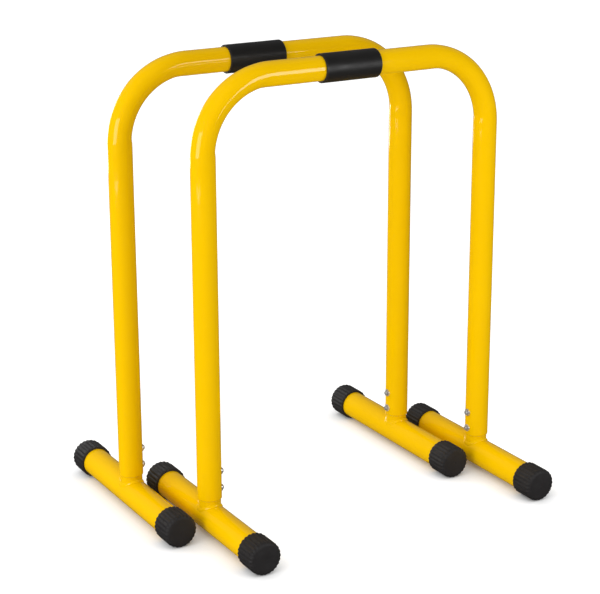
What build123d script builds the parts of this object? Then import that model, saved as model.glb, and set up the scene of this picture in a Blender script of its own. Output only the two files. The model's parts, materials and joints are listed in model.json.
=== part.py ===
"""A pair of free-standing parallel bars for dips, push-ups and rows.

Each stand is one bent steel tube whose two legs slip over spigots. A spigot is welded upright on
each foot tube and held in the leg by two screws. Ribbed rubber caps close the feet, and a short
rubber sleeve grips the bar. The two stands are alike. They stand side by side with the front one
set a little to the right, so that their feet lie next to each other.

Millimetres. X runs along the bars, Y from the front stand to the rear one, Z up from the floor.
The origin is on the floor, midway between the stands.
"""

from build123d import *

import os
from dataclasses import dataclass
from math import cos, radians, sin

# Stand
OVERALL_HEIGHT = 720.0  # floor to the top of the bar
LEG_SPACING = 504.0  # between the axes of the two legs
FOOT_LENGTH = 352.0  # over the caps
BEND_RADIUS = 112.0  # at the tube's centreline

# Tubes, outside radius and wall
BAR_RADIUS = 19.0
BAR_WALL = 1.5
FOOT_RADIUS = 22.5
FOOT_WALL = 1.5
SPIGOT_RADIUS = 17.3
SPIGOT_WALL = 2.3
CUT_EDGE = 0.4  # break on the cut ends of the tubes

# Spigot joint, heights above the foot tube's axis
LEG_END_RISE = 30.5
SPIGOT_RISE = 96.0
SCREW_RISES = (43.0, 70.5)
BEAD_LEG = 3.4  # leg of the fillet weld round the spigot
BEAD_ROUND = 2.6

# Fasteners, M6
SCREW_RADIUS = 3.0
SCREW_LENGTH = 16.0
SCREW_CHAMFER = 0.6
SCREW_HOLE_RADIUS = 3.3
HEAD_RADIUS = 5.25
HEAD_HEIGHT = 3.3
HEAD_TOP_RADIUS = 2.8
SOCKET_FLATS = 4.0
SOCKET_DEPTH = 2.0
WASHER_RADIUS = 6.0
WASHER_HOLE_RADIUS = 3.2
WASHER_THICKNESS = 1.2  # at the crown of the tube
NUT_FLATS = 10.0
NUT_THICKNESS = 5.0
NUT_BORE_RADIUS = 3.05

# Ribbed end cap
CAP_RADIUS = 26.5  # over the ribs
RIB_COUNT = 24
RIB_DEPTH = 1.1
CAP_LENGTH = 40.0
CAP_END_WALL = 6.0
CAP_END_ROUND = 6.0
CAP_LIP_CHAMFER = 0.8
CAP_CLEARANCE = 0.05  # stands in for the stretch fit

# Grip sleeve
SLEEVE_LENGTH = 97.0
SLEEVE_RADIUS = 22.2
SLEEVE_CLEARANCE = 0.08
SLEEVE_EDGE = 0.8

# Derived places
FOOT_AXIS_Z = CAP_RADIUS
BAR_AXIS_Z = OVERALL_HEIGHT - BAR_RADIUS
LEG_END_Z = FOOT_AXIS_Z + LEG_END_RISE
FOOT_TUBE_LENGTH = FOOT_LENGTH - 2 * CAP_END_WALL
SIDES = {"left": -1, "right": 1}
ENDS = {"front": -1, "rear": 1}


@dataclass
class Stand:
    """Where one stand is, and how far its sleeve sits from the middle of its bar."""

    name: str
    x: float
    y: float
    sleeve_offset: float

    def leg_x(self, side):
        """X of a leg's axis, and of the foot under it."""
        return self.x + side * LEG_SPACING / 2


STANDS = [
    Stand("rear", x=-32.0, y=72.5, sleeve_offset=-23.5),
    Stand("front", x=32.0, y=-72.5, sleeve_offset=-6.0),
]


def leg_plane(stand, side, rise):
    """On the inner face of a leg at a screw's height, with Z pointing out of the tube."""
    inward = -side
    origin = (stand.leg_x(side) + inward * BAR_RADIUS, stand.y, FOOT_AXIS_Z + rise)
    return Plane(origin=origin, x_dir=(0, 1, 0), z_dir=(inward, 0, 0))


def upright_plane(stand, side, height):
    """Level plane centred on a leg's axis."""
    return Plane(origin=(stand.leg_x(side), stand.y, height))


def foot_mid_plane(stand, side):
    """Across the middle of a foot tube, with Z along the foot, to the rear."""
    origin = (stand.leg_x(side), stand.y, FOOT_AXIS_Z)
    return Plane(origin=origin, x_dir=(1, 0, 0), z_dir=(0, 1, 0))


def make_handle_tube(stand):
    """The bent tube: two legs and the bar between them."""
    left, right = stand.leg_x(-1), stand.leg_x(1)
    corners = [
        (left, stand.y, LEG_END_Z),
        (left, stand.y, BAR_AXIS_Z),
        (right, stand.y, BAR_AXIS_Z),
        (right, stand.y, LEG_END_Z),
    ]
    with BuildPart() as handle_tube:
        with BuildLine() as centreline:
            FilletPolyline(*corners, radius=BEND_RADIUS)
        with BuildSketch(upright_plane(stand, -1, LEG_END_Z)):
            Circle(BAR_RADIUS)
            Circle(BAR_RADIUS - BAR_WALL, mode=Mode.SUBTRACT)
        sweep(path=centreline.line)
        leg_ends = handle_tube.faces().sort_by(Axis.Z)[:2]
        rims = [end.outer_wire().edges() for end in leg_ends]
        chamfer([edge for rim in rims for edge in rim], length=CUT_EDGE)
        for side in SIDES.values():
            for rise in SCREW_RISES:
                with BuildSketch(leg_plane(stand, side, rise)):
                    Circle(SCREW_HOLE_RADIUS)
                extrude(amount=-2 * BAR_WALL, both=True, mode=Mode.SUBTRACT)
    return handle_tube


def make_grip_sleeve(stand):
    """The rubber sleeve on the bar."""
    middle = (stand.x + stand.sleeve_offset, stand.y, BAR_AXIS_Z)
    with BuildPart() as grip_sleeve:
        with BuildSketch(Plane(origin=middle, x_dir=(0, 1, 0), z_dir=(1, 0, 0))):
            Circle(SLEEVE_RADIUS)
            Circle(BAR_RADIUS + SLEEVE_CLEARANCE, mode=Mode.SUBTRACT)
        extrude(amount=SLEEVE_LENGTH / 2, both=True)
        ends = grip_sleeve.faces().filter_by(Axis.X)
        rims = [end.outer_wire().edges() for end in ends]
        fillet([edge for rim in rims for edge in rim], radius=SLEEVE_EDGE)
    return grip_sleeve


def make_foot_tube(stand, side):
    """The tube that lies on the floor between its two caps."""
    with BuildPart() as foot_tube:
        with BuildSketch(foot_mid_plane(stand, side)):
            Circle(FOOT_RADIUS)
            Circle(FOOT_RADIUS - FOOT_WALL, mode=Mode.SUBTRACT)
        extrude(amount=FOOT_TUBE_LENGTH / 2, both=True)
        ends = foot_tube.faces().filter_by(Axis.Y)
        rims = [end.outer_wire().edges() for end in ends]
        chamfer([edge for rim in rims for edge in rim], length=CUT_EDGE)
    return foot_tube


def make_spigot(stand, side):
    """The upright stub, coped to the foot tube, that the leg slips over."""
    hole_depth = BAR_RADIUS - SPIGOT_RADIUS + 2 * SPIGOT_WALL
    with BuildPart() as spigot:
        with BuildSketch(upright_plane(stand, side, FOOT_AXIS_Z)):
            Circle(SPIGOT_RADIUS)
            Circle(SPIGOT_RADIUS - SPIGOT_WALL, mode=Mode.SUBTRACT)
        extrude(amount=SPIGOT_RISE)
        top = spigot.faces().sort_by(Axis.Z)[-1]
        chamfer(top.outer_wire().edges(), length=2 * CUT_EDGE)
        with BuildSketch(foot_mid_plane(stand, side)):
            Circle(FOOT_RADIUS)
        extrude(amount=2 * SPIGOT_RADIUS, both=True, mode=Mode.SUBTRACT)
        for rise in SCREW_RISES:
            with BuildSketch(leg_plane(stand, side, rise)):
                Circle(SCREW_HOLE_RADIUS)
            extrude(amount=-hole_depth, mode=Mode.SUBTRACT)
    return spigot


def make_weld_bead(stand, side):
    """The fillet weld round the foot of a spigot, which follows the foot tube's curve."""
    with BuildPart() as weld_bead:
        with BuildSketch(upright_plane(stand, side, FOOT_AXIS_Z)):
            Circle(SPIGOT_RADIUS + BEAD_LEG)
            Circle(SPIGOT_RADIUS, mode=Mode.SUBTRACT)
        extrude(amount=2 * FOOT_RADIUS)
        with BuildSketch(foot_mid_plane(stand, side)):
            Circle(FOOT_RADIUS + BEAD_LEG)
        extrude(amount=2 * SPIGOT_RADIUS, both=True, mode=Mode.INTERSECT)
        crest = weld_bead.edges().sort_by(SortBy.LENGTH)[-1]
        fillet(crest, radius=BEAD_ROUND)
        with BuildSketch(foot_mid_plane(stand, side)):
            Circle(FOOT_RADIUS)
        extrude(amount=2 * SPIGOT_RADIUS, both=True, mode=Mode.SUBTRACT)
    return weld_bead


def make_washers(stand, side):
    """Two saddle washers, hollowed to the leg on one face and flat on the other."""
    with BuildPart() as washers:
        for rise in SCREW_RISES:
            with BuildSketch(leg_plane(stand, side, rise).offset(WASHER_THICKNESS)):
                Circle(WASHER_RADIUS)
                Circle(WASHER_HOLE_RADIUS, mode=Mode.SUBTRACT)
            extrude(amount=-2 * WASHER_THICKNESS)
        with BuildSketch(upright_plane(stand, side, LEG_END_Z)):
            Circle(BAR_RADIUS)
        extrude(amount=SPIGOT_RISE, mode=Mode.SUBTRACT)
    return washers


def make_screws(stand, side):
    """Two button-head socket screws."""
    with BuildPart() as screws:
        for rise in SCREW_RISES:
            seat = leg_plane(stand, side, rise).offset(WASHER_THICKNESS)
            section = Plane(origin=seat.origin, x_dir=seat.x_dir, z_dir=-seat.y_dir)
            with BuildSketch(section):
                with BuildLine():
                    Polyline(
                        (0, 0),
                        (0, -SCREW_LENGTH),
                        (SCREW_RADIUS - SCREW_CHAMFER, -SCREW_LENGTH),
                        (SCREW_RADIUS, SCREW_CHAMFER - SCREW_LENGTH),
                        (SCREW_RADIUS, 0),
                        (HEAD_RADIUS, 0),
                    )
                    RadiusArc((HEAD_RADIUS, 0), (HEAD_TOP_RADIUS, HEAD_HEIGHT), -HEAD_RADIUS)
                    Polyline((HEAD_TOP_RADIUS, HEAD_HEIGHT), (0, HEAD_HEIGHT), (0, 0))
                make_face()
            revolve(axis=Axis(seat.origin, seat.z_dir))
            with BuildSketch(seat.offset(HEAD_HEIGHT)):
                RegularPolygon(SOCKET_FLATS / 2, side_count=6, major_radius=False)
            extrude(amount=-SOCKET_DEPTH, mode=Mode.SUBTRACT)
    return screws


def make_weld_nuts(stand, side):
    """Two hexagon nuts welded against the inside of a spigot."""
    bore_radius = SPIGOT_RADIUS - SPIGOT_WALL
    wall_depth = BAR_RADIUS - bore_radius
    with BuildPart() as weld_nuts:
        for rise in SCREW_RISES:
            with BuildSketch(leg_plane(stand, side, rise).offset(-wall_depth)):
                RegularPolygon(NUT_FLATS / 2, side_count=6, major_radius=False)
                Circle(NUT_BORE_RADIUS, mode=Mode.SUBTRACT)
            extrude(amount=-NUT_THICKNESS)
        with BuildSketch(upright_plane(stand, side, FOOT_AXIS_Z)):
            Circle(bore_radius)
        extrude(amount=SPIGOT_RISE, mode=Mode.INTERSECT)
    return weld_nuts


def rib_point(turns, radius):
    """A point on the cap's outline, counted in ribs round the axis."""
    angle = radians(360 / RIB_COUNT * turns)
    return (radius * cos(angle), radius * sin(angle))


def make_cap(stand, side, end):
    """A ribbed rubber cap, open towards the foot tube and rounded at its closed end."""
    lip_y = stand.y + end * (FOOT_LENGTH / 2 - CAP_LENGTH)
    lip = Plane(
        origin=(stand.leg_x(side), lip_y, FOOT_AXIS_Z), x_dir=(1, 0, 0), z_dir=(0, end, 0)
    )
    section = Plane(origin=lip.origin, x_dir=lip.x_dir, z_dir=-lip.y_dir)
    valley = CAP_RADIUS - RIB_DEPTH
    with BuildPart() as cap:
        with BuildSketch(lip):
            with BuildLine():
                for rib in range(RIB_COUNT):
                    ThreePointArc(
                        rib_point(rib - 0.5, valley),
                        rib_point(rib, CAP_RADIUS),
                        rib_point(rib + 0.5, valley),
                    )
            make_face()
        extrude(amount=CAP_LENGTH)
        with BuildSketch(section):
            with BuildLine():
                Polyline(
                    (0, CAP_LENGTH),
                    (0, 0),
                    (CAP_RADIUS - CAP_LIP_CHAMFER, 0),
                    (CAP_RADIUS, CAP_LIP_CHAMFER),
                    (CAP_RADIUS, CAP_LENGTH - CAP_END_ROUND),
                )
                RadiusArc(
                    (CAP_RADIUS, CAP_LENGTH - CAP_END_ROUND),
                    (CAP_RADIUS - CAP_END_ROUND, CAP_LENGTH),
                    -CAP_END_ROUND,
                )
                Line((CAP_RADIUS - CAP_END_ROUND, CAP_LENGTH), (0, CAP_LENGTH))
            make_face()
        revolve(axis=Axis(lip.origin, lip.z_dir), mode=Mode.INTERSECT)
        with BuildSketch(lip):
            Circle(FOOT_RADIUS + CAP_CLEARANCE)
        extrude(amount=CAP_LENGTH - CAP_END_WALL, mode=Mode.SUBTRACT)
    return cap


def write(piece, name):
    """Labels a finished piece and writes its STEP file."""
    piece.part.label = name
    export_step(piece.part, f"parts/{name}.step")


os.makedirs("parts", exist_ok=True)
for stand in STANDS:
    write(make_handle_tube(stand), f"{stand.name}_handle_tube")
    write(make_grip_sleeve(stand), f"{stand.name}_grip_sleeve")
    for side_name, side in SIDES.items():
        place = f"{stand.name}_{side_name}"
        write(make_foot_tube(stand, side), f"{place}_foot_tube")
        write(make_spigot(stand, side), f"{place}_spigot")
        write(make_weld_bead(stand, side), f"{place}_weld_bead")
        write(make_washers(stand, side), f"{place}_washers")
        write(make_screws(stand, side), f"{place}_screws")
        write(make_weld_nuts(stand, side), f"{place}_weld_nuts")
        for end_name, end in ENDS.items():
            write(make_cap(stand, side, end), f"{place}_{end_name}_cap")
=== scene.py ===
"""The looks of a pair of dip bars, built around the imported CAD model. Metres, in the CAD frame.

The handle tubes, grip sleeves, end caps and weld beads are made again here as finer meshes, on the
same outlines. The foot tubes, the spigots and the fasteners are the CAD's own, in new materials.
"""

import json
from math import cos, pi, radians, sin, sqrt, tau

import bmesh
import bpy
from mathutils import Matrix, Vector, noise


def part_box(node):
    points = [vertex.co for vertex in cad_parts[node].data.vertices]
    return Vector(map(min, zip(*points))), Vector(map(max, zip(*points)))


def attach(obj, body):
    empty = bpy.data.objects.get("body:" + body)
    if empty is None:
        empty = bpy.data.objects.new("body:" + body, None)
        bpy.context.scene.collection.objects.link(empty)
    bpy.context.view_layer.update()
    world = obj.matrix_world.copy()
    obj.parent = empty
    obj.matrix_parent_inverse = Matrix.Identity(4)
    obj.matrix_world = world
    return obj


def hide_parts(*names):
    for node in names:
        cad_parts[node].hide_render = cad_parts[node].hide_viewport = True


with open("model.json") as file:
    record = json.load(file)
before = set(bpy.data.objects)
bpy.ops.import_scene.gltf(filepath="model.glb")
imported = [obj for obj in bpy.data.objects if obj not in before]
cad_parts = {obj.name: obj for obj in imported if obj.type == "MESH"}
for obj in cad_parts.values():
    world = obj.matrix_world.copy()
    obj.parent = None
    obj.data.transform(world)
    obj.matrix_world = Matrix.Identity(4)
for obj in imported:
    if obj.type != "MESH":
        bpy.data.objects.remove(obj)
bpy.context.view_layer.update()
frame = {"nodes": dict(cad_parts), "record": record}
MM = 0.001

STANDS = ("front", "rear")
SIDES = {"left": -1, "right": 1}
ENDS = {"front": -1, "rear": 1}


# ---------------------------------------------------------------- camera
CAMERA_TARGET = Vector((0.0, 0.0, 0.3635))
CAMERA_AZIMUTH = -30.831
CAMERA_ELEVATION = 16.852
CAMERA_ROLL = -0.129
CAMERA_DISTANCE = 2.665
LENS = 101.27
SHIFT = (-0.01373, -0.04104)


def add_camera():
    """The camera, which looks down on the bars from the front left."""
    azimuth, elevation = radians(CAMERA_AZIMUTH), radians(CAMERA_ELEVATION)
    back = Vector((sin(azimuth) * cos(elevation), -cos(azimuth) * cos(elevation), sin(elevation)))
    right = Vector((0, 0, 1)).cross(back).normalized()
    up = back.cross(right)
    basis = Matrix((right, up, back)).transposed() @ Matrix.Rotation(radians(CAMERA_ROLL), 3, "Z")
    data = bpy.data.cameras.new("camera")
    data.lens = LENS
    data.shift_x, data.shift_y = SHIFT
    camera = bpy.data.objects.new("camera", data)
    camera.matrix_world = Matrix.Translation(CAMERA_TARGET + back * CAMERA_DISTANCE) @ basis.to_4x4()
    bpy.context.scene.collection.objects.link(camera)
    bpy.context.scene.camera = camera


# ---------------------------------------------------------------- studio
WHITE = (1, 1, 1, 1)
ROOM = 0.43  # brightness of the room at the horizon
OVERHEAD = 0.72  # share of that straight up
LEFT_WALL = 1.0  # added towards the top of the left wall, which is the brightest
LEFT_WALL_AT = (-177, 38)  # azimuth and elevation
GLOSS_ROOM = 0.04  # how bright the room is in reflections
GLOSS_BACK = 0.16  # and its back wall
GLOSS_BACK_AT = (70, 30)
FLOOR_REACH = 12.0  # metres each way
FLOOR_DROP = 0.05 * MM  # below the feet
FLOOR_COLOUR = (0.64, 0.64, 0.64, 1)
FLOOR_ROUGHNESS = 0.8
FLOOR_GLOW = 0.70  # light that the floor gives off of itself, as seen
FLOOR_BOUNCE = 0.15  # and as it falls on the bars
FLOOR_PAINTED_SHADE_REACH = 0.05  # how far off, in metres, things above darken that glow with painted shade


def direction(azimuth, elevation):
    """A unit vector, with azimuth 0 along +X and 90 along +Y."""
    a, e = radians(azimuth), radians(elevation)
    return Vector((cos(a) * cos(e), sin(a) * cos(e), sin(e)))


def add_softbox(name, aim, azimuth, elevation, distance, size, radiance):
    """A rectangular area light that faces a point from a given direction."""
    width, height = size
    data = bpy.data.lights.new(name, "AREA")
    data.shape = "RECTANGLE"
    data.size, data.size_y = width, height
    data.energy = radiance * pi * width * height
    lamp = bpy.data.objects.new(name, data)
    away = direction(azimuth, elevation)
    lamp.location = Vector(aim) + away * distance
    lamp.rotation_mode = "QUATERNION"
    lamp.rotation_quaternion = away.to_track_quat("Z", "Y")
    lamp.visible_camera = False
    bpy.context.scene.collection.objects.link(lamp)


def glow(nodes, links, towards, cosines, brightness):
    """A brightness that goes smoothly from one value to another as a ray turns towards a direction."""
    ray = nodes.new("ShaderNodeTexCoord").outputs["Generated"]
    nearness = nodes.new("ShaderNodeVectorMath")
    nearness.operation = "DOT_PRODUCT"
    nearness.inputs[1].default_value = towards
    links.new(ray, nearness.inputs[0])
    made = nodes.new("ShaderNodeMapRange")
    made.interpolation_type = "SMOOTHSTEP"
    links.new(nearness.outputs["Value"], made.inputs["Value"])
    made.inputs["From Min"].default_value, made.inputs["From Max"].default_value = cosines
    made.inputs["To Min"].default_value, made.inputs["To Max"].default_value = brightness
    return made.outputs["Result"]


def add_world():
    """A white room, dimmer overhead and brighter to the left, that hardly shows in reflections."""
    world = bpy.data.worlds.new("studio")
    world.use_nodes = True
    nodes, links = world.node_tree.nodes, world.node_tree.links
    nodes.clear()
    overhead = glow(nodes, links, (0, 0, 1), (0.1, 0.9), (ROOM, ROOM * OVERHEAD))
    left_wall = glow(nodes, links, direction(*LEFT_WALL_AT), (0.25, 0.95), (0.0, LEFT_WALL))
    gloss = glow(nodes, links, direction(*GLOSS_BACK_AT), (0.35, 0.85), (GLOSS_ROOM, GLOSS_BACK))
    room = nodes.new("ShaderNodeMath")
    links.new(overhead, room.inputs[0])
    links.new(left_wall, room.inputs[1])
    rays = nodes.new("ShaderNodeLightPath").outputs
    in_gloss = nodes.new("ShaderNodeMix")
    links.new(rays["Is Glossy Ray"], in_gloss.inputs["Factor"])
    links.new(room.outputs[0], in_gloss.inputs["A"])
    links.new(gloss, in_gloss.inputs["B"])
    in_view = nodes.new("ShaderNodeMix")
    links.new(rays["Is Camera Ray"], in_view.inputs["Factor"])
    links.new(in_gloss.outputs["Result"], in_view.inputs["A"])
    in_view.inputs["B"].default_value = 1.0
    background = nodes.new("ShaderNodeBackground")
    background.inputs["Color"].default_value = WHITE
    links.new(in_view.outputs["Result"], background.inputs["Strength"])
    output = nodes.new("ShaderNodeOutputWorld")
    links.new(background.outputs["Background"], output.inputs["Surface"])
    bpy.context.scene.world = world


def floor_paint():
    """White that gives off some light of its own, darkened by painted shade from ambient occlusion where
    something is close above it.
    """
    material = bpy.data.materials.new("floor_paint")
    material.use_nodes = True
    nodes, links = material.node_tree.nodes, material.node_tree.links
    # painted shade: ambient occlusion darkens the floor's own glow wherever something stands close above
    # it
    painted_shade = nodes.new("ShaderNodeAmbientOcclusion")
    painted_shade.inputs["Distance"].default_value = FLOOR_PAINTED_SHADE_REACH
    seen = nodes.new("ShaderNodeMath")
    seen.operation = "MULTIPLY"
    links.new(painted_shade.outputs["AO"], seen.inputs[0])
    seen.inputs[1].default_value = FLOOR_GLOW
    level = nodes.new("ShaderNodeMix")
    links.new(nodes.new("ShaderNodeLightPath").outputs["Is Camera Ray"], level.inputs["Factor"])
    level.inputs["A"].default_value = FLOOR_BOUNCE
    links.new(seen.outputs[0], level.inputs["B"])
    shader = nodes["Principled BSDF"].inputs
    shader["Base Color"].default_value = FLOOR_COLOUR
    shader["Roughness"].default_value = FLOOR_ROUGHNESS
    shader["Specular IOR Level"].default_value = 0.0
    shader["Emission Color"].default_value = WHITE
    links.new(level.outputs["Result"], shader["Emission Strength"])
    return material


def add_floor():
    """A plain white floor that hardly shows, except where the bars shade it: real shadow on its lit white,
    and painted shade on its own glow.
    """
    reach = FLOOR_REACH
    corners = [(-reach, -reach), (reach, -reach), (reach, reach), (-reach, reach)]
    mesh = bpy.data.meshes.new("floor")
    mesh.from_pydata([(x, y, -FLOOR_DROP) for x, y in corners], [], [(0, 1, 2, 3)])
    mesh.materials.append(floor_paint())
    floor = bpy.data.objects.new("floor", mesh)
    floor.visible_glossy = False
    bpy.context.scene.collection.objects.link(floor)


def add_softboxes():
    """The lamps, each placed for the streak that it leaves on the gloss of the tubes."""
    # down the outside of the left bends
    add_softbox(
        "left_box", aim=(-0.25, 0.0, 0.6), azimuth=-164, elevation=3, distance=2.4,
        size=(1.35, 1.1), radiance=3.45,
    )
    # along the bars
    add_softbox(
        "right_box", aim=(0.03, -0.07, 0.70), azimuth=-67, elevation=2, distance=1.5,
        size=(0.51, 0.70), radiance=5.8,
    )
    # down the legs and along the feet as seen from behind
    add_softbox(
        "back_box", aim=(0.0, 0.0, 0.45), azimuth=98, elevation=0, distance=2.4,
        size=(0.80, 0.90), radiance=5.0,
    )
    # a small glint on each left leg
    add_softbox(
        "low_card", aim=(-0.26, -0.01, 0.53), azimuth=-160, elevation=-14, distance=1.55,
        size=(0.90, 0.02), radiance=4.0,
    )


def add_studio():
    """Everything round the bars: the room, the floor and the lamps."""
    bpy.context.scene.view_settings.view_transform = "Standard"
    add_world()
    add_floor()
    add_softboxes()


# ---------------------------------------------------------------- shader nodes
class Finish:
    """A material under construction, with short calls for the nodes that it is made of."""

    def __init__(self, name):
        self.material = bpy.data.materials.new(name)
        self.material.use_nodes = True
        self.tree = self.material.node_tree
        self.shader = self.tree.nodes["Principled BSDF"]
        self.place = self.tree.nodes.new("ShaderNodeTexCoord").outputs["Object"]

    def node(self, kind, inputs, **settings):
        """A new node with its settings made and its inputs, by name or number, filled."""
        made = self.tree.nodes.new(kind)
        for name, value in settings.items():
            setattr(made, name, value)
        for key, value in inputs.items():
            self.fill(made.inputs[key], value)
        return made

    def fill(self, socket, value):
        """Joins another node's output to a socket, or sets the socket's own value."""
        if isinstance(value, bpy.types.NodeSocket):
            self.tree.links.new(value, socket)
        else:
            socket.default_value = (*value, 1) if isinstance(value, tuple) else value

    def surface(self, **values):
        """Fills the shader's own sockets."""
        for name, value in values.items():
            self.fill(self.shader.inputs[name.replace("_", " ").title().replace("Ior", "IOR")], value)

    def math(self, operation, first, second):
        return self.node("ShaderNodeMath", {0: first, 1: second}, operation=operation).outputs[0]

    def noise(self, size, detail=2.0, stretch=(1, 1, 1)):
        """Soft noise from 0 to 1 with lumps of about that size, drawn out where stretch is small."""
        place = self.node("ShaderNodeVectorMath", {0: self.place}, operation="MULTIPLY")
        place.inputs[1].default_value = stretch
        inputs = {"Vector": place.outputs[0], "Scale": 1 / size, "Detail": detail}
        return self.node("ShaderNodeTexNoise", inputs).outputs["Fac"]

    def spots(self, spacing, radius):
        """Round spots, 1 at the middle and 0 outside, scattered about that far apart."""
        cells = self.node("ShaderNodeTexVoronoi", {"Vector": self.place, "Scale": 1 / spacing})
        return self.span(cells.outputs["Distance"], 0, radius / spacing, 1, 0)

    def span(self, value, low, high, out_low=0.0, out_high=1.0):
        """The value, with low..high stretched smoothly to out_low..out_high and held there."""
        inputs = {"Value": value, "From Min": low, "From Max": high, "To Min": out_low, "To Max": out_high}
        return self.node("ShaderNodeMapRange", inputs, interpolation_type="SMOOTHSTEP").outputs["Result"]

    def blend(self, amount, first, second):
        """A colour that goes from first to second as amount goes from 0 to 1."""
        inputs = {"Factor": amount, 6: first, 7: second}
        return self.node("ShaderNodeMix", inputs, data_type="RGBA").outputs[2]

    def mark(self, name):
        """The amount from 0 to 1 that is stored on a piece's vertices, or 0 where there is none."""
        return self.node("ShaderNodeAttribute", {}, attribute_name=name).outputs["Fac"]

    def bumps(self, *layers):
        """Shapes the surface by layers of (height from 0 to 1, real height in metres)."""
        inputs = {}
        for height, distance in layers:
            inputs.update({"Height": height, "Distance": distance})
            inputs["Normal"] = self.node("ShaderNodeBump", inputs).outputs["Normal"]
        self.surface(normal=inputs["Normal"])


# ---------------------------------------------------------------- finishes
# Each pair of colours is the range over which a finish drifts from place to place.
PAINT = ((0.90, 0.525, 0.0), (0.94, 0.560, 0.0))
THIN_PAINT = (0.80, 0.42, 0.005)
BARE_STEEL = (0.42, 0.41, 0.39)
CAP_BLACK = ((0.0190, 0.0168, 0.0172), (0.0240, 0.0217, 0.0220))
CAP_DUST = (0.075, 0.070, 0.063)
SLEEVE_BLACK = ((0.0115, 0.0108, 0.0105), (0.0155, 0.0146, 0.0140))
SLEEVE_SCUFF = (0.055, 0.052, 0.050)
ZINC = ((0.78, 0.78, 0.80), (0.62, 0.61, 0.58))
SOFT_GLOSS = 0.4  # specular level of the paint and the rubbers
ZINC_METALLIC = 0.75  # under 1, for the clear passivation over it


def powder_coat():
    """Glossy yellow powder coat: faint orange peel, dust nibs, rubbed bars and chipped cut edges."""
    f = Finish("yellow_powder_coat")
    wear = f.mark("wear")
    grit = f.noise(0.9 * MM, detail=4)
    thin = f.span(f.math("MULTIPLY", wear, grit), 0.15, 0.5)
    chips = f.span(f.math("ADD", wear, grit), 1.38, 1.44)
    colour = f.blend(f.noise(90 * MM), *PAINT)
    colour = f.blend(thin, colour, THIN_PAINT)
    colour = f.blend(chips, colour, BARE_STEEL)
    streaks = f.span(f.noise(0.7 * MM, detail=3, stretch=(0.03, 1, 1)), 0.45, 0.75)
    rub = f.math("MULTIPLY", f.mark("rub"), streaks)
    roughness = f.span(f.noise(30 * MM), 0.3, 0.7, 0.055, 0.085)
    roughness = f.math("ADD", roughness, f.math("MULTIPLY", rub, 0.16))
    roughness = f.math("ADD", roughness, f.math("MULTIPLY", chips, 0.25))
    f.surface(base_color=colour, metallic=chips, roughness=roughness, specular_ior_level=SOFT_GLOSS)
    f.bumps(
        (f.noise(2.6 * MM, detail=1), 0.012 * MM),
        (f.spots(21 * MM, 0.45 * MM), 0.03 * MM),
        (f.math("SUBTRACT", 1.0, chips), 0.06 * MM),
    )
    return f.material


def moulded_rubber():
    """Matt black rubber of the end caps: fine grain, a grey bloom, and dust where it meets the floor."""
    f = Finish("cap_rubber")
    bloom = f.span(f.noise(14 * MM, detail=3), 0.35, 0.75)
    scuff = f.math("MULTIPLY", f.mark("scuff"), f.span(f.noise(1.1 * MM, detail=4), 0.42, 0.62))
    colour = f.blend(bloom, *CAP_BLACK)
    colour = f.blend(scuff, colour, CAP_DUST)
    roughness = f.span(f.noise(6 * MM), 0.3, 0.7, 0.50, 0.60)
    roughness = f.math("ADD", roughness, f.math("MULTIPLY", scuff, 0.2))
    f.surface(base_color=colour, roughness=roughness, specular_ior_level=SOFT_GLOSS)
    f.bumps((f.noise(0.35 * MM), 0.02 * MM), (f.noise(3.5 * MM, detail=1), 0.03 * MM))
    return f.material


def extruded_rubber():
    """Satin black rubber of the sleeves, with faint lines along it, a gloss that varies a little, and
    scuffed cut ends.
    """
    f = Finish("sleeve_rubber")
    edge = f.math("MULTIPLY", f.mark("scuff"), f.span(f.noise(0.8 * MM, detail=3), 0.45, 0.7))
    colour = f.blend(f.noise(25 * MM, detail=3), *SLEEVE_BLACK)
    colour = f.blend(edge, colour, SLEEVE_SCUFF)
    lines = f.noise(1.0 * MM, detail=3, stretch=(0.02, 1, 1))
    roughness = f.span(f.noise(18 * MM), 0.3, 0.7, 0.36, 0.46)
    f.surface(base_color=colour, roughness=roughness, specular_ior_level=SOFT_GLOSS)
    f.bumps((lines, 0.010 * MM), (f.noise(0.25 * MM), 0.006 * MM))
    return f.material


def zinc_plate():
    """Bright zinc on the screws, washers and nuts, dulled in patches."""
    f = Finish("zinc_plate")
    cloud = f.span(f.noise(2.5 * MM, detail=4), 0.35, 0.7)
    colour = f.blend(cloud, *ZINC)
    roughness = f.span(f.noise(0.8 * MM, detail=3), 0.3, 0.7, 0.20, 0.38)
    f.surface(base_color=colour, metallic=ZINC_METALLIC, roughness=roughness)
    f.bumps((f.noise(0.2 * MM, detail=3), 0.004 * MM))
    return f.material


FINISHES = {
    "yellow_powder_coat": powder_coat(),
    "cap_rubber": moulded_rubber(),
    "sleeve_rubber": extruded_rubber(),
    "zinc_plate": zinc_plate(),
}


# ---------------------------------------------------------------- meshes
SHARP = 40  # degrees between faces, past which an edge isn't smoothed


def tidy_faces(mesh):
    """Turns every face outwards and smooths the mesh, except across its sharp edges."""
    shape = bmesh.new()
    shape.from_mesh(mesh)
    bmesh.ops.recalc_face_normals(shape, faces=shape.faces)
    shape.to_mesh(mesh)
    shape.free()
    for polygon in mesh.polygons:
        polygon.use_smooth = True
    mesh.set_sharp_from_angle(angle=radians(SHARP))


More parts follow.
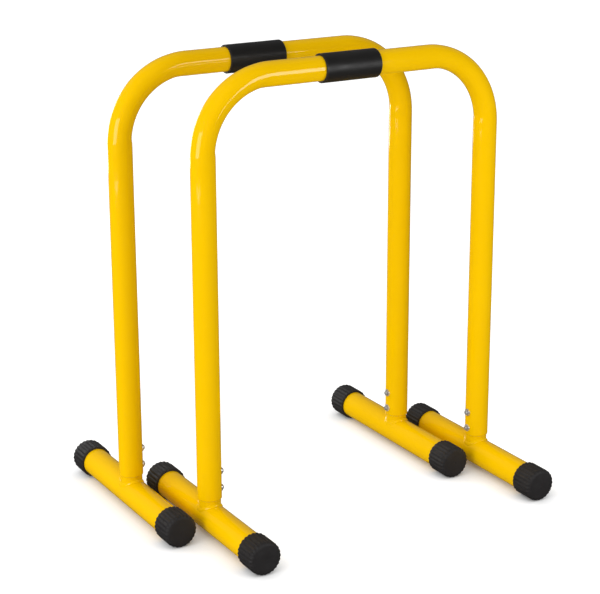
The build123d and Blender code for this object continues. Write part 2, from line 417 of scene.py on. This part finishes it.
def skin(name, rings, closed=True):
    """A piece through rings of points. A closed row of rings joins up; an open one is capped by fans."""
    count = len(rings[0])
    points = [point for ring in rings for point in ring]
    faces = []
    for row in range(len(rings) if closed else len(rings) - 1):
        here, there = row * count, (row + 1) % len(rings) * count
        for i in range(count):
            j = (i + 1) % count
            faces.append((here + i, here + j, there + j, there + i))
    if not closed:
        for start in (0, (len(rings) - 1) * count):
            hub = len(points)
            points.append(sum(points[start : start + count], Vector()) / count)
            faces += [(start + i, start + (i + 1) % count, hub) for i in range(count)]
    mesh = bpy.data.meshes.new(name)
    mesh.from_pydata(points, [], faces)
    tidy_faces(mesh)
    piece = bpy.data.objects.new(name, mesh)
    bpy.context.scene.collection.objects.link(piece)
    return piece


def circle(count):
    """Evenly spaced angles round a circle."""
    return [tau * i / count for i in range(count)]


def mark(piece, name, amount):
    """Stores amount(point), held between 0 and 1, on each vertex for the finishes to read."""
    layer = piece.data.attributes.new(name, "FLOAT", "POINT")
    for vertex, stored in zip(piece.data.vertices, layer.data):
        stored.value = min(1.0, max(0.0, amount(vertex.co)))


def settle(piece, node, body, slot):
    """Gives a finished piece its material and its place in the frame, instead of a CAD node."""
    piece.data.materials.append(FINISHES[slot])
    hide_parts(node)
    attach(piece, body)


def smooth_step(value):
    """The value held between 0 and 1, eased at both ends."""
    t = min(1.0, max(0.0, value))
    return t * t * (3 - 2 * t)


# ---------------------------------------------------------------- handle tubes
BEND_RADIUS = 112 * MM
TUBE_WALL = 1.5 * MM
RIM_ROUND = 0.4 * MM
TUBE_POINTS = 72
BEND_STEP = 1.5  # degrees from ring to ring round a bend
LEG_EASE = 6.0  # degrees over which the flattening comes in at the leg's end of a bend
BAR_EASE = 14.0  # and at the bar's end
INNER_FLAT = 1.5 * MM  # how far the tube is pulled in on the inside of a bend
OUTER_FLAT = 0.4 * MM
SIDE_BULGE = 0.3 * MM
RUN_STEP = 14 * MM  # from ring to ring along a straight run
FINE_STEP = 2.5 * MM  # and near the screws
FINE_START = 3 * MM  # above the cut end of a leg
FINE_END = 60 * MM
SCREW_HOLE_RADIUS = 3.3 * MM
SCREW_HOLE_POINTS = 32
DRILL_REACH = 1.5  # how far out from the leg's axis a hole is cut, in tube radii
CUT_WEAR = 2.5 * MM  # how far up from the cut end the paint is thin
WASHER_RADIUS = 6 * MM
WASHER_WEAR = 2 * MM  # how far round the washers it is
WASHER_WEAR_SHARE = 0.6  # how worn it is there, against the cut end
RUB_REACH = 45 * MM  # how far past its ends the sleeve has rubbed the bar


def straight(start, end, inward, step=RUN_STEP):
    """Rings along a straight run, as (point on the axis, direction to the bends' inside, flattening)."""
    steps = round((end - start).length / step)
    return [(start.lerp(end, i / steps), inward, 0.0) for i in range(steps)]


def bend(hub, turn_start, first_ease, last_ease):
    """Rings round a quarter bend, clockwise about its hub from an angle in the XZ plane."""
    steps = round(90 / BEND_STEP)
    rings = []
    for i in range(steps):
        turned = 90 * i / steps
        angle = radians(turn_start - turned)
        outward = Vector((cos(angle), 0, sin(angle)))
        flat = smooth_step(turned / first_ease) * smooth_step((90 - turned) / last_ease)
        rings.append((hub + outward * BEND_RADIUS, -outward, flat))
    return rings


def leg(foot, shoulder, inward):
    """Rings up a leg from its cut end to where its bend starts."""
    up = Vector((0, 0, 1))
    rings = [(foot, inward, 0.0), (foot + up * RIM_ROUND, inward, 0.0)]
    rings += straight(foot + up * FINE_START, foot + up * FINE_END, inward, FINE_STEP)
    return rings + straight(foot + up * FINE_END, shoulder, inward)


def handle_path(left, right, bottom, bar, y):
    """Rings from the foot of the left leg, over the bar, to the foot of the right leg."""
    shoulder = bar - BEND_RADIUS
    bar_start, bar_end = left + BEND_RADIUS, right - BEND_RADIUS
    left_leg = leg(Vector((left, y, bottom)), Vector((left, y, shoulder)), Vector((1, 0, 0)))
    right_leg = leg(Vector((right, y, bottom)), Vector((right, y, shoulder)), Vector((-1, 0, 0)))
    path = left_leg + bend(Vector((bar_start, y, shoulder)), 180, LEG_EASE, BAR_EASE)
    path += straight(Vector((bar_start, y, bar)), Vector((bar_end, y, bar)), Vector((0, 0, -1)))
    path += bend(Vector((bar_end, y, shoulder)), 90, BAR_EASE, LEG_EASE)
    path.append((Vector((right, y, shoulder)), Vector((-1, 0, 0)), 0.0))
    return path + right_leg[::-1]


def tube_ring(station, radius):
    """One ring of the tube, pulled in on the inside of a bend and a little fuller at its sides."""
    centre, inward, flat = station
    ring = []
    for angle in circle(TUBE_POINTS):
        inner, outer = max(0.0, cos(angle)), max(0.0, -cos(angle))
        pull = INNER_FLAT * inner**2 + OUTER_FLAT * outer**2 - SIDE_BULGE * sin(angle) ** 2
        reach = radius - flat * pull
        ring.append(centre + inward * (reach * cos(angle)) + Vector((0, reach * sin(angle), 0)))
    return ring


def drill(piece, holes):
    """Cuts round holes, each given as (start, end, radius)."""
    for start, end, radius in holes:
        axis = (end - start).normalized()
        side = axis.orthogonal()
        across = axis.cross(side)
        rim = [radius * (cos(a) * side + sin(a) * across) for a in circle(SCREW_HOLE_POINTS)]
        cutter = skin("cutter", [[start + r for r in rim], [end + r for r in rim]], closed=False)
        cut = piece.modifiers.new("hole", "BOOLEAN")
        cut.object = cutter
        cut.operation = "DIFFERENCE"
        cut.solver = "EXACT"
    graph = bpy.context.evaluated_depsgraph_get()
    drilled = bpy.data.meshes.new_from_object(piece.evaluated_get(graph))
    for cut in piece.modifiers:
        bpy.data.objects.remove(cut.object)
    piece.modifiers.clear()
    piece.data = drilled
    tidy_faces(drilled)


def screw_places(stand):
    """Where each screw of a stand passes through its leg: (point on the leg's axis, way out)."""
    places = []
    for side_name, side in SIDES.items():
        low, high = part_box(f"{stand}_{side_name}_screws")
        head = (high.y - low.y) / 2
        leg_low, leg_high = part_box(f"{stand}_{side_name}_spigot")
        axis = (leg_low + leg_high) / 2
        for z in (low.z + head, high.z - head):
            places.append((Vector((axis.x, axis.y, z)), Vector((-side, 0, 0))))
    return places


def make_handle_tube(stand):
    """A stand's bent tube, drilled for its screws and marked where it is worn."""
    node = f"{stand}_handle_tube"
    low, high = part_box(node)
    sleeve_low, sleeve_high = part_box(f"{stand}_grip_sleeve")
    radius = (high.y - low.y) / 2
    bar = high.z - radius
    path = handle_path(low.x + radius, high.x - radius, low.z, bar, (low.y + high.y) / 2)
    ends = (0, len(path) - 1)
    outer = [tube_ring(p, radius - RIM_ROUND * (i in ends)) for i, p in enumerate(path)]
    bore = radius - TUBE_WALL
    inner = [tube_ring(p, bore + RIM_ROUND / 2 * (i in ends)) for i, p in enumerate(path)]
    piece = skin(f"{stand}_bent_tube", outer + inner[::-1])
    screws = screw_places(stand)
    drill(piece, [(axis, axis + out * DRILL_REACH * radius, SCREW_HOLE_RADIUS) for axis, out in screws])

    def edge_wear(point):
        """Thin paint on the cut ends of the legs and round the washers."""
        cut_end = 1 - (point.z - low.z) / CUT_WEAR
        nearest = min((point - axis - out * radius).length for axis, out in screws)
        return max(cut_end, WASHER_WEAR_SHARE * (1 - (nearest - WASHER_RADIUS) / WASHER_WEAR))

    def sleeve_rub(point):
        """Rubbing where the sleeve has been slid along the bar."""
        beyond = max(sleeve_low.x - point.x, point.x - sleeve_high.x)
        on_bar = point.z > bar - 1.2 * radius
        return on_bar * (1 - beyond / RUB_REACH)

    mark(piece, "wear", edge_wear)
    mark(piece, "rub", sleeve_rub)
    settle(piece, node, f"{stand}_stand", "yellow_powder_coat")


# ---------------------------------------------------------------- grip sleeves
SLEEVE_POINTS = 144
SLEEVE_RINGS = 38
SLEEVE_ROUND = 0.9 * MM
SLEEVE_ROUND_STEPS = 6
SLEEVE_BORE_ROUND = 0.5 * MM
SLEEVE_CLEARANCE = 0.08 * MM
SLEEVE_UNEVEN = 0.10 * MM  # how far the stretched rubber strays from a true tube
UNEVEN_LENGTH = 22 * MM  # along it, from one stray to the next
UNEVEN_ROUND = 1.3  # strays in one radian round it
CUT_UNEVEN = 0.35 * MM  # how far its cut ends stray from a true plane
CUT_REACH = 4 * MM  # how far in from the end that is felt
CUT_ROUND = 1.6  # strays of a cut in one radian round it
SLEEVE_SCUFF_REACH = 3 * MM


def sleeve_profile(half, radius, bore):
    """The sleeve's section as (distance from its middle, radius), round from its left end."""
    corner = []
    for i in range(SLEEVE_ROUND_STEPS + 1):
        angle = radians(90 * i / SLEEVE_ROUND_STEPS)
        along = half - SLEEVE_ROUND * (1 - cos(angle))
        corner.append((along, radius - SLEEVE_ROUND * (1 - sin(angle))))
    run = half - SLEEVE_ROUND
    steps = range(1, SLEEVE_RINGS)
    profile = [(-along, reach) for along, reach in corner]
    profile += [(-run + 2 * run * i / SLEEVE_RINGS, radius) for i in steps]
    profile += corner[::-1]
    inner = [(half, bore + SLEEVE_BORE_ROUND), (half - SLEEVE_BORE_ROUND, bore)]
    return profile + inner + [(-along, reach) for along, reach in inner[::-1]]


def make_grip_sleeve(stand):
    """The rubber sleeve on a stand's bar, uneven where it is stretched and cut."""
    node = f"{stand}_grip_sleeve"
    low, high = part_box(node)
    tube_low, tube_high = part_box(f"{stand}_handle_tube")
    middle = (low + high) / 2
    half, radius = (high.x - low.x) / 2, (high.y - low.y) / 2
    bore = (tube_high.y - tube_low.y) / 2 + SLEEVE_CLEARANCE
    seed = Vector((0, 0, 10 * STANDS.index(stand)))  # so that no two sleeves stray alike

    def place(along, reach, angle):
        """A point of the sleeve, with its outside and its cut ends slightly uneven."""
        around = Vector((0, cos(angle), sin(angle)))
        stray = noise.noise(Vector((along / UNEVEN_LENGTH, 0, 0)) + UNEVEN_ROUND * around + seed)
        reach += smooth_step((reach - bore) / (radius - bore)) * SLEEVE_UNEVEN * (stray - 0.5)
        end = 1 if along > 0 else -1
        nearness = smooth_step(1 - (half - abs(along)) / CUT_REACH)
        cut = abs(noise.noise(CUT_ROUND * around + seed + Vector((5 * end, 0, 0))))
        return middle + Vector((along - end * cut * CUT_UNEVEN * nearness, 0, 0)) + around * reach

    profile = sleeve_profile(half, radius, bore)
    rings = [[place(along, reach, a) for a in circle(SLEEVE_POINTS)] for along, reach in profile]
    piece = skin(f"{stand}_rubber_sleeve", rings)
    mark(piece, "scuff", lambda point: 1 - (half - abs(point.x - middle.x)) / SLEEVE_SCUFF_REACH)
    settle(piece, node, f"{stand}_sleeve", "sleeve_rubber")


# ---------------------------------------------------------------- end caps
RIB_COUNT = 24
RIB_DEPTH = 1.1 * MM
RIB_POINTS = 12
RIB_SHAPE = 1.24  # under 2 gives round crests and narrow valleys
RIB_FADE = (0.25, 0.95)  # where the ribs die out, as shares of the way in over the rounded end
CAP_END_ROUND = 6 * MM
CAP_END_STEPS = 12
CAP_LIP_ROUND = 0.8 * MM
CAP_LIP_STEPS = 4
CAP_SIDE_STEPS = 12
CAP_END_WALL = 6 * MM
CAP_CLEARANCE = 0.05 * MM
CAP_BORE_ROUND = 0.3 * MM
FLOOR_DUST = 5 * MM  # how far up from the floor the caps are dusty
CREST_SCUFF = 0.35 * MM  # how far down from a rib's crest the scuffs go
CREST_SCUFF_SHARE = 0.15  # how strong they are, against those at the floor
GATE_RADIUS = 1.6 * MM  # dimple left by the mould's gate, in the middle of the end
GATE_DEPTH = 0.35 * MM


def cap_profile(radius, length):
    """The cap's outside from the middle of its closed end to its lip, as (distance from lip, radius)."""
    flat = radius - CAP_END_ROUND
    profile = [(length, GATE_RADIUS * share) for share in (0.4, 0.7, 0.85, 1.0, 1.15, 1.5)]
    profile += [(length, flat * share) for share in (0.25, 0.45, 0.65, 0.85)]
    for i in range(CAP_END_STEPS + 1):
        angle = radians(90 * i / CAP_END_STEPS)
        profile.append((length - CAP_END_ROUND * (1 - cos(angle)), flat + CAP_END_ROUND * sin(angle)))
    run = length - CAP_END_ROUND - CAP_LIP_ROUND
    steps = range(1, CAP_SIDE_STEPS + 1)
    profile += [(CAP_LIP_ROUND + run * (1 - i / CAP_SIDE_STEPS), radius) for i in steps]
    for i in range(1, CAP_LIP_STEPS + 1):
        angle = radians(90 * i / CAP_LIP_STEPS)
        profile.append((CAP_LIP_ROUND * (1 - sin(angle)), radius - CAP_LIP_ROUND * (1 - cos(angle))))
    return profile


def ribbed(reach, angle, radius):
    """The cap's radius at an angle, with ribs that run on over its rounded end and die out there."""
    crest = abs(cos(angle * RIB_COUNT / 2)) ** RIB_SHAPE
    inwards = (radius - reach) / CAP_END_ROUND
    start, stop = RIB_FADE
    return reach - RIB_DEPTH * (1 - crest) * smooth_step((stop - inwards) / (stop - start))


def make_cap(stand, side_name, end_name):
    """A ribbed rubber cap on one end of a foot tube."""
    node = f"{stand}_{side_name}_{end_name}_cap"
    end = ENDS[end_name]
    low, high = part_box(node)
    foot_low, foot_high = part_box(f"{stand}_{side_name}_foot_tube")
    middle = (low + high) / 2
    radius, length = (high.x - low.x) / 2, high.y - low.y
    bore = (foot_high.x - foot_low.x) / 2 + CAP_CLEARANCE
    bore_end = length - CAP_END_WALL
    lip_y = low.y if end > 0 else high.y

    def place(height, reach, angle):
        return Vector((middle.x + reach * cos(angle), lip_y + end * height, middle.z + reach * sin(angle)))

    angles = circle(RIB_COUNT * RIB_POINTS)
    rings = []
    for height, reach in cap_profile(radius, length):
        dimple = GATE_DEPTH * smooth_step((1.15 * GATE_RADIUS - reach) / (0.3 * GATE_RADIUS))
        rings.append([place(height - dimple, ribbed(reach, a, radius), a) for a in angles])
    mouth = [(0, bore + CAP_BORE_ROUND), (CAP_BORE_ROUND, bore)]
    for height, reach in (*mouth, (bore_end, bore), (bore_end, bore / 2)):
        rings.append([place(height, reach, a) for a in angles])
    piece = skin(f"{stand}_{side_name}_{end_name}_ribbed_cap", rings, closed=False)

    def floor_scuff(point):
        """Dust and scuffing on the ribs that meet the floor, and a little on the other crests."""
        near_floor = 1 - (point.z - low.z) / FLOOR_DUST
        reach = sqrt((point.x - middle.x) ** 2 + (point.z - middle.z) ** 2)
        on_crest = 1 - (radius - reach) / CREST_SCUFF
        return max(near_floor, CREST_SCUFF_SHARE * on_crest)

    mark(piece, "scuff", floor_scuff)
    settle(piece, node, f"{stand}_stand", "cap_rubber")


# ---------------------------------------------------------------- weld beads
BEAD_LEG = 3.4 * MM  # how far the weld reaches up the spigot and out over the foot tube
BEAD_CROWN = 0.5 * MM
BEAD_DEPTH = 0.4 * MM  # how far the bead is sunk into the tubes
RIPPLE_PITCH = 2.3 * MM
RIPPLE_HEIGHT = 0.22 * MM
RIPPLE_LAG = 1.7  # how far a ripple's middle trails its ends, in radians of one ripple
RIPPLE_SHARPNESS = 0.7  # under 1 gives round ripples with narrow valleys
BEAD_SLICES = 480
BEAD_POINTS = 11


def make_weld_bead(stand, side_name):
    """A rippled fillet weld where the round spigot stands on the round foot tube."""
    spigot_low, spigot_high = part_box(f"{stand}_{side_name}_spigot")
    foot_low, foot_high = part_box(f"{stand}_{side_name}_foot_tube")
    post = (spigot_high.x - spigot_low.x) / 2
    foot = (foot_high.x - foot_low.x) / 2
    axis = Vector((*((spigot_low + spigot_high) / 2).xy, (foot_low.z + foot_high.z) / 2))
    ripples = round(tau * post / RIPPLE_PITCH)

    def on_foot(angle, reach):
        """A point of the foot tube's surface, that far from the spigot's axis, and the way out there."""
        x = reach * cos(angle)
        rise = sqrt(foot**2 - x**2)
        return axis + Vector((x, reach * sin(angle), rise)), Vector((x, 0, rise)).normalized()

    def slice_at(angle):
        """A slice of the bead: its face from the spigot to the foot tube, closed under the surfaces."""
        out = Vector((cos(angle), sin(angle), 0))
        root, root_out = on_foot(angle, post)
        top = root + Vector((0, 0, BEAD_LEG))
        toe, toe_out = on_foot(angle, post + BEAD_LEG * root_out.z)
        lift = (out + toe_out).normalized()
        points = []
        for i in range(BEAD_POINTS):
            share = i / (BEAD_POINTS - 1)
            crown = sin(pi * share)
            ripple = abs(cos((angle * ripples - RIPPLE_LAG * crown) / 2)) ** RIPPLE_SHARPNESS
            rise = BEAD_CROWN * crown + RIPPLE_HEIGHT * ripple * (0.25 + 0.75 * crown)
            points.append(top.lerp(toe, share) + lift * rise)
        sunk = BEAD_DEPTH * (out + root_out)
        return points + [toe - toe_out * BEAD_DEPTH, root - sunk, top - out * BEAD_DEPTH]

    piece = skin(f"{stand}_{side_name}_weld", [slice_at(angle) for angle in circle(BEAD_SLICES)])
    settle(piece, f"{stand}_{side_name}_weld_bead", f"{stand}_stand", "yellow_powder_coat")


# ---------------------------------------------------------------- the model
for part in frame["record"]["subparts"]:
    for holder in frame["nodes"][part["node"]].material_slots:
        holder.material = FINISHES[part["material_slot"]]

for stand_name in STANDS:
    make_handle_tube(stand_name)
    make_grip_sleeve(stand_name)
    for leg_side in SIDES:
        make_weld_bead(stand_name, leg_side)
        for foot_end in ENDS:
            make_cap(stand_name, leg_side, foot_end)

add_camera()
add_studio()
